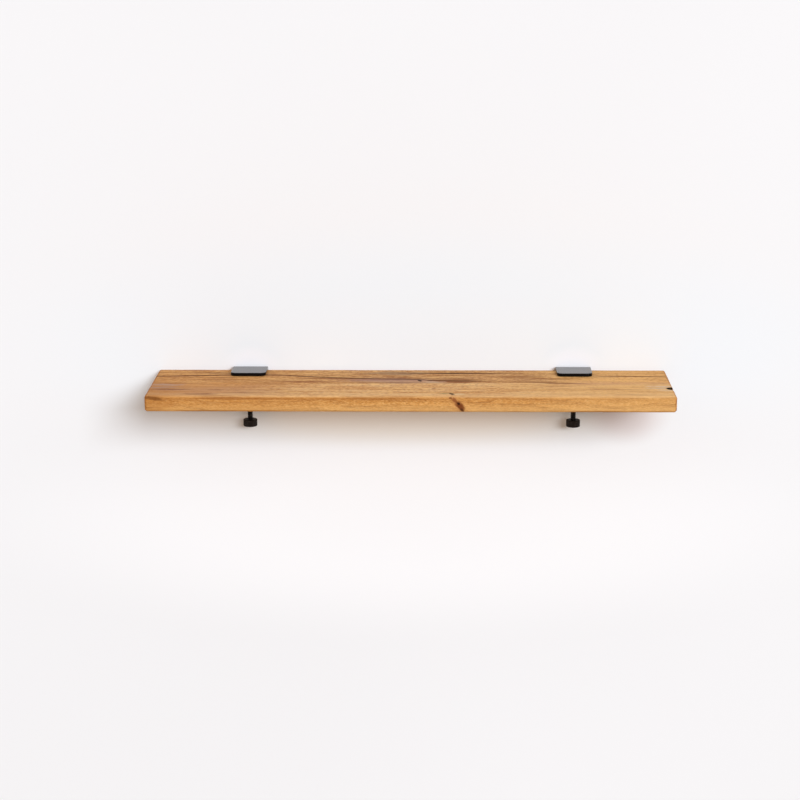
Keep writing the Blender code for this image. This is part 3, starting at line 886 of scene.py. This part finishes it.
def threaded_stud(low, high, shoulder, settings):
    """The stud about Z: a plain tip and neck, a metric thread, and a plain shank below it.

    The thread's radius is the full radius less the ridge depth times its profile, which fades out over two
    turns towards the shank. It is never more than a cone of 45 degrees at each end allows.
    """
    radius = (high[0] - low[0]) / 2
    root = radius - settings.thread_depth
    tip = 3.0 * MM
    neck = 2.3 * MM
    tip_foot = high[2] - 1.6 * MM
    end_radius = root - 0.2 * MM
    corners = ((0, high[2]), (tip, high[2]), (tip, tip_foot), (neck, tip_foot), (neck, shoulder))
    plain = softened(corners, 0.5 * MM)
    columns = 40
    rows_a_turn = 14
    height = np.arange(shoulder, low[2], -settings.pitch / rows_a_turn)
    run_out = shoulder - settings.thread_length
    threaded = smoothstep(run_out - 2 * settings.pitch, run_out, height)[:, None]
    ridge = thread_ridge(height, columns, settings.pitch, crest_flat=0.125, root_flat=0.25) * threaded
    from_end = np.minimum(shoulder - height, height - low[2])[:, None]
    thread = np.minimum(radius - settings.thread_depth * ridge, end_radius + from_end)
    plain_radius = np.broadcast_to(plain[:, :1], (len(plain), columns + 1))
    closing = np.zeros((1, columns + 1))
    radii = np.concatenate((plain_radius, thread, closing + end_radius, closing))
    heights = np.concatenate((plain[:, 1], height, (low[2], low[2])))
    return around_axis(radii, heights, columns)


def ribbed_knob(low, high, bore, settings):
    """The knob about Z: a blind bore, a flat top, straight ribs round the side, and a dished foot.

    The radius is the turned profile's, less the rib depth times a power of a raised cosine of the ribs'
    angle, which fades out towards the middle of the end faces.
    """
    radius = (high[0] - low[0]) / 2
    chamfer = 0.8 * MM
    mouth = 0.5 * MM
    dish = 0.35 * MM
    floor = low[2] + 2 * MM
    land = radius - 2.6 * MM
    profile = softened((
        (0, floor), (bore, floor), (bore, high[2] - mouth), (bore + mouth, high[2]),
        (radius - 3.2 * MM, high[2]), (land, high[2]), (radius - chamfer, high[2]),
        (radius, high[2] - chamfer), (radius, low[2] + chamfer), (radius - chamfer, low[2]),
        (land, low[2]), (radius - 3.6 * MM, low[2] + dish), (0, low[2] + dish),
    ), 0.35 * MM)
    columns_a_rib = 10
    columns = settings.ribs * columns_a_rib
    angle = np.linspace(0.0, math.tau, columns + 1)
    groove = (0.5 - 0.5 * np.cos(settings.ribs * angle)) ** 1.4
    weight = smoothstep(radius - 2 * chamfer, radius - 0.4 * chamfer, profile[:, :1])
    return around_axis(profile[:, :1] - settings.rib_depth * groove * weight, profile[:, 1], columns)


class SHELF_OT_thumbscrews(bpy.types.Operator):
    """Builds the threaded studs and the ribbed knobs on their lower ends"""

    bl_idname = "shelf.thumbscrews"
    bl_label = "Thumbscrews"

    def execute(self, context):
        settings = context.scene.shelf_thumbscrew
        rolled = black_oxide(
            settings, "black_oxide_on_rolled_thread", settings.oiled_thread, (6, 6, 0.3), 0.4)
        knurled = black_oxide(
            settings, "black_oxide_on_knurled_steel", settings.black_oxide, (1.2, 1.2, 0.5), 0.45)
        for side in SIDES:
            low, high = np.array(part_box(f"thumbscrew_stud_{side}"))
            pad_low = np.array(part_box(f"thrust_pad_{side}")[0])
            axis = np.array((*(low + high)[:2] / 2, 0.0))
            grid = threaded_stud(low, high, pad_low[2] - FIT_GAP, settings) + axis
            stud = add_piece(f"threaded_stud_{side}", [grid], rolled)
            stand_for(stud, f"thumbscrew_stud_{side}", f"thumbscrew_{side}")
            bore = (high[0] - low[0]) / 2 + FIT_GAP
            low, high = np.array(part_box(f"thumbscrew_knob_{side}"))
            grid = ribbed_knob(low, high, bore, settings) + axis
            knob = add_piece(f"ribbed_knob_{side}", [grid], knurled)
            stand_for(knob, f"thumbscrew_knob_{side}", f"thumbscrew_{side}")
        return {"FINISHED"}


def thrust_pad(low, high):
    """The pad about Z: a flat cap with soft edges over a bore, with a groove for the ring inside."""
    radius = (high[0] - low[0]) / 2
    bore = 3.3 * MM
    groove = bore + 0.8 * MM
    groove_foot, groove_top = low[2] + 1.5 * MM, low[2] + 2.9 * MM
    cap = high[2] - 2 * MM
    edge = 0.8 * MM
    profile = softened((
        (0, high[2]), (radius - edge, high[2]), (radius, high[2] - edge), (radius, low[2] + edge),
        (radius - edge, low[2]), (bore, low[2]), (bore, groove_foot), (groove, groove_foot),
        (groove, groove_top), (bore, groove_top), (bore, cap), (0, cap),
    ), 0.3 * MM)
    return around_axis(profile[:, :1], profile[:, 1], columns=72)


class SHELF_OT_thrust_pads(bpy.types.Operator):
    """Builds the thrust pads and gives the snap rings inside them their finish"""

    bl_idname = "shelf.thrust_pads"
    bl_label = "Thrust Pads"

    def execute(self, context):
        settings = context.scene.shelf_thumbscrew
        turned = black_oxide(
            settings, "black_oxide_on_turned_steel", settings.black_oxide, (5, 5, 0.25), 0.42)
        wire = spring_wire()
        for side in SIDES:
            low, high = np.array(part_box(f"thrust_pad_{side}"))
            axis = np.array((*(low + high)[:2] / 2, 0.0))
            pad = add_piece(f"turned_pad_{side}", [thrust_pad(low, high) + axis], turned)
            stand_for(pad, f"thrust_pad_{side}", f"pad_{side}")
            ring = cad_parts[f"snap_ring_{side}"]
            ring.data.materials.clear()
            ring.data.materials.append(wire)
        return {"FINISHED"}


# The wall screws


# Face and shank have the same points round the head's rim, so that the seam between them closes
SCREW_COLUMNS = 96


def screw_shank(head, shank, total, settings):
    """The screw about Z from under its head's face: countersunk cone, plain neck, coarse thread and point.

    The thread's radius lies between the crest and the core by a sharp ridge profile. Both shrink along a
    square root towards the point, which makes it a pointed arch.
    """
    land = 0.5 * MM
    neck_end = -9 * MM
    point = 7 * MM
    cone = softened(((head, 0), (head, -land), (shank, -land - head + shank), (shank, neck_end)), 0.3 * MM)
    columns = SCREW_COLUMNS
    rows_a_turn = 16
    height = np.arange(neck_end, -total, -settings.pitch / rows_a_turn)[1:]
    ridge = thread_ridge(height, columns, settings.pitch, crest_flat=0.06, root_flat=0.5)
    started = smoothstep(0.0, settings.pitch, neck_end - height)[:, None]
    core = shank + (settings.core_radius - shank) * started
    pointed = np.sqrt(np.clip((total + height) / point, 0.0, 1.0))[:, None]
    thread = (shank - (shank - core) * ridge) * pointed
    cone_radius = np.broadcast_to(cone[:, :1], (len(cone), columns + 1))
    radii = np.concatenate((cone_radius, thread, np.zeros((1, columns + 1))))
    return around_axis(radii, np.concatenate((cone[:, 1], height, (-total,))), columns)


def screw_face(head, settings):
    """The head's face: rings about Z that a cross-shaped recess with sloping sides sinks.

    The depth is the recess's, times a smoothstep across an arm, times one at the arm's end.
    """
    rings = 45
    ring = np.linspace(0.0, 1.0, rings + 1)
    flat = around_axis(head * ring[:, None], np.zeros(len(ring)), SCREW_COLUMNS)
    reach = np.sort(np.abs(flat[..., :2]), axis=-1)
    slope = 0.35 * MM
    half_width = settings.recess_width / 2
    half_span = settings.recess_span / 2
    beside = smoothstep(half_width + slope / 2, half_width - slope / 2, reach[..., 0])
    inside = smoothstep(half_span, half_span - 2 * slope, reach[..., 1])
    flat[..., 2] -= settings.recess_depth * beside * inside
    return flat


class SHELF_OT_wall_screws(bpy.types.Operator):
    """Builds the countersunk screws that hold the brackets to the wall"""

    bl_idname = "shelf.wall_screws"
    bl_label = "Wall Screws"

    def execute(self, context):
        settings = context.scene.shelf_wall_screw
        material = zinc_plate(settings)
        for side, letter in itertools.product(SIDES, "ab"):
            low, high = np.array(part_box(f"wall_screw_{side}_{letter}"))
            head = (high[0] - low[0]) / 2
            face = np.array(((low[0] + high[0]) / 2, low[1], (low[2] + high[2]) / 2))
            shank = screw_shank(head, head / 2, high[1] - low[1], settings)
            grids = [out_of_wall(grid) + face for grid in (screw_face(head, settings), shank)]
            screw = add_piece(f"zinc_wall_screw_{side}_{letter}", grids, material)
            stand_for(screw, f"wall_screw_{side}_{letter}", "brackets")
        return {"FINISHED"}


# The stage


def stage_plane(name, corners, material):
    """A flat sheet through four corners that isn't part of the shelf."""
    grid = np.array(corners, float).reshape(2, 2, 3)
    mesh = bpy.data.meshes.new(name)
    mesh.from_pydata(grid.reshape(-1, 3).tolist(), [], grid_faces(2, 2, 0).tolist())
    mesh.materials.append(material)
    plane = bpy.data.objects.new(name, mesh)
    bpy.context.scene.collection.objects.link(plane)
    return plane


# Soft ovals of painted light and painted shade on the wall: colour, middle and half sizes in millimetres.
# They take back the timber's warm glow over the board and its lack over the brackets, lighten the wall
# below, warm the shadow and deepen it under the right end, as in the photograph.
PAINTED_LIGHT_AND_SHADE_ON_WALL = (
    ("#F0F5F9", (40, 0, 50), (760, 1000, 220)),
    ("#FCFAFC", (-255, 0, 5), (50, 1000, 38)),
    ("#FEFCFE", (255, 0, 5), (50, 1000, 38)),
    ("#FBFBFC", (0, 0, -260), (800, 1000, 210)),
    ("#F8F3EB", (0, 0, -74), (460, 1000, 66)),
    ("#E4DCDB", (343, 0, -73), (78, 1000, 58)),
)


def matt_paint(name, base, one_sided, painted_light_ovals=()):
    """Matt emulsion paint: flat and pale, with faint roller clouds and soft ovals of painted light and shade.

    A one-sided sheet can't be seen from behind.
    """
    material, tree, shader, place = start_material(name, 0.9)
    shader.inputs["Specular IOR Level"].default_value = 0.2
    cloud = patches(tree, place, (900, 900, 900), 1.0)
    clouded = (*(0.985 * value for value in base[:3]), 1.0)
    paint = stain(tree, tuple(base), (clouded, 1.0, (cloud, 0.4, 0.7)))
    # Ovals of painted light and painted shade, laid over the paint one by one
    for code, middle, half in painted_light_ovals:
        reach = oval(tree, place, middle, half)[1]
        paint = stain(tree, paint, (linear(code), 1.0, (reach, 1.0, 0.3)))
    tree.links.new(paint, shader.inputs["Base Color"])
    if one_sided:
        behind = link_node(tree, "NewGeometry", out="Backfacing")
        clear = link_node(tree, "BsdfTransparent")
        seen = link_node(tree, "MixShader", {0: behind, 1: shader.outputs[0], 2: clear})
        tree.links.new(seen, tree.nodes["Material Output"].inputs["Surface"])
    return material


class SHELF_OT_stage(bpy.types.Operator):
    """Sets up the wall, the floor, the lights and the camera"""

    bl_idname = "shelf.stage"
    bl_label = "Studio Stage"

    def execute(self, context):
        settings = context.scene.shelf_stage
        self.add_room(settings)
        self.add_lights(context.scene, settings)
        self.add_camera(context.scene, settings)
        context.scene.view_settings.view_transform = "Standard"
        return {"FINISHED"}

    def add_room(self, settings):
        """A wall that the camera and reflections see, and a floor that only the camera sees.

        Neither sends light back to the shelf, and the wall lets the light from behind it through.
        """
        reach = 6.0
        floor = -settings.floor_drop
        # The wall's paint carries soft ovals of painted light and painted shade
        paint = matt_paint("matt_white_wall_paint_with_painted_light_and_shade", settings.wall, True, PAINTED_LIGHT_AND_SHADE_ON_WALL)
        corners = [(x, FIT_GAP, z) for z in (floor, reach) for x in (-reach, reach)]
        wall = stage_plane("studio_wall", corners, paint)
        wall.visible_diffuse = False
        wall.visible_shadow = False
        far = 40.0
        paint = matt_paint("pale_studio_floor", settings.floor, False)
        corners = [(x, y, floor) for y in (-far, far) for x in (-far, far)]
        ground = stage_plane("studio_floor", corners, paint)
        ground.visible_diffuse = False
        ground.visible_glossy = False

    def add_lights(self, scene, settings):
        """A soft box at the front right, and a pale room all round that is darker behind the camera."""
        target = Vector((BOARD_LOW + BOARD_HIGH) / 2)
        direction = Vector((
            math.sin(settings.key_side) * math.cos(settings.key_rise),
            -math.cos(settings.key_side) * math.cos(settings.key_rise),
            math.sin(settings.key_rise),
        ))
        light = bpy.data.lights.new("soft_box", "AREA")
        light.shape = "RECTANGLE"
        light.size = settings.key_width
        light.size_y = settings.key_height
        light.energy = settings.key_power
        light.color = settings.key_colour[:3]
        key = bpy.data.objects.new("soft_box", light)
        key.location = target + direction * settings.key_distance
        key.rotation_euler = direction.to_track_quat("Z", "Y").to_euler()
        key.visible_camera = False
        scene.collection.objects.link(key)

        scene.world = bpy.data.worlds.new("pale_room")
        scene.world.use_nodes = True
        tree = scene.world.node_tree
        direction = link_node(tree, "TexCoord", out="Generated")
        towards_wall = link_node(tree, "SeparateXYZ", {0: direction}, out=1)
        rear = (tuple(settings.rear_light), 1.0, (towards_wall, -1.0, 0.1))
        light = stain(tree, tuple(settings.front_light), rear)
        tree.links.new(light, tree.nodes["Background"].inputs["Color"])

    def add_camera(self, scene, settings):
        """The camera at the photograph's angle."""
        camera = bpy.data.objects.new("camera", bpy.data.cameras.new("camera"))
        camera.data.lens = settings.lens
        turn = Euler((math.pi / 2 - settings.camera_dip, 0.0, settings.camera_turn)).to_matrix()
        turn = turn @ Matrix.Rotation(-settings.camera_roll, 3, "Z")
        camera.rotation_euler = turn.to_euler()
        camera.location = settings.camera_place
        scene.collection.objects.link(camera)
        scene.camera = camera


SETTINGS = {
    "shelf_board": BoardSettings,
    "shelf_clamp": ClampSettings,
    "shelf_thumbscrew": ThumbscrewSettings,
    "shelf_wall_screw": WallScrewSettings,
    "shelf_stage": StageSettings,
}

OPERATORS = (
    SHELF_OT_board,
    SHELF_OT_brackets,
    SHELF_OT_thumbscrews,
    SHELF_OT_thrust_pads,
    SHELF_OT_wall_screws,
    SHELF_OT_stage,
)


class SHELF_PT_sidebar(bpy.types.Panel):
    """Lists the shelf's groups of pieces with their settings"""

    bl_idname = "SHELF_PT_sidebar"
    bl_label = "Bracket Wall Shelf"
    bl_space_type = "VIEW_3D"
    bl_region_type = "UI"
    bl_category = "Shelf"

    def draw(self, context):
        for operator in OPERATORS:
            self.layout.operator(operator.bl_idname)
        for name, group in SETTINGS.items():
            box = self.layout.box()
            for key in group.__annotations__:
                box.prop(getattr(context.scene, name), key)


CLASSES = (*SETTINGS.values(), *OPERATORS, SHELF_PT_sidebar)


def register():
    """Adds the classes and the scene's settings."""
    for item in CLASSES:
        bpy.utils.register_class(item)
    for name, group in SETTINGS.items():
        setattr(bpy.types.Scene, name, PointerProperty(type=group))


def unregister():
    """Takes the settings and the classes away again."""
    for name in SETTINGS:
        delattr(bpy.types.Scene, name)
    for item in reversed(CLASSES):
        bpy.utils.unregister_class(item)


def main():
    """Registers the add-on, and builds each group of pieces."""
    register()
    for operator in ("board", "brackets", "thumbscrews", "thrust_pads", "wall_screws", "stage"):
        getattr(bpy.ops.shelf, operator)()


if __name__ == "__main__":
    main()
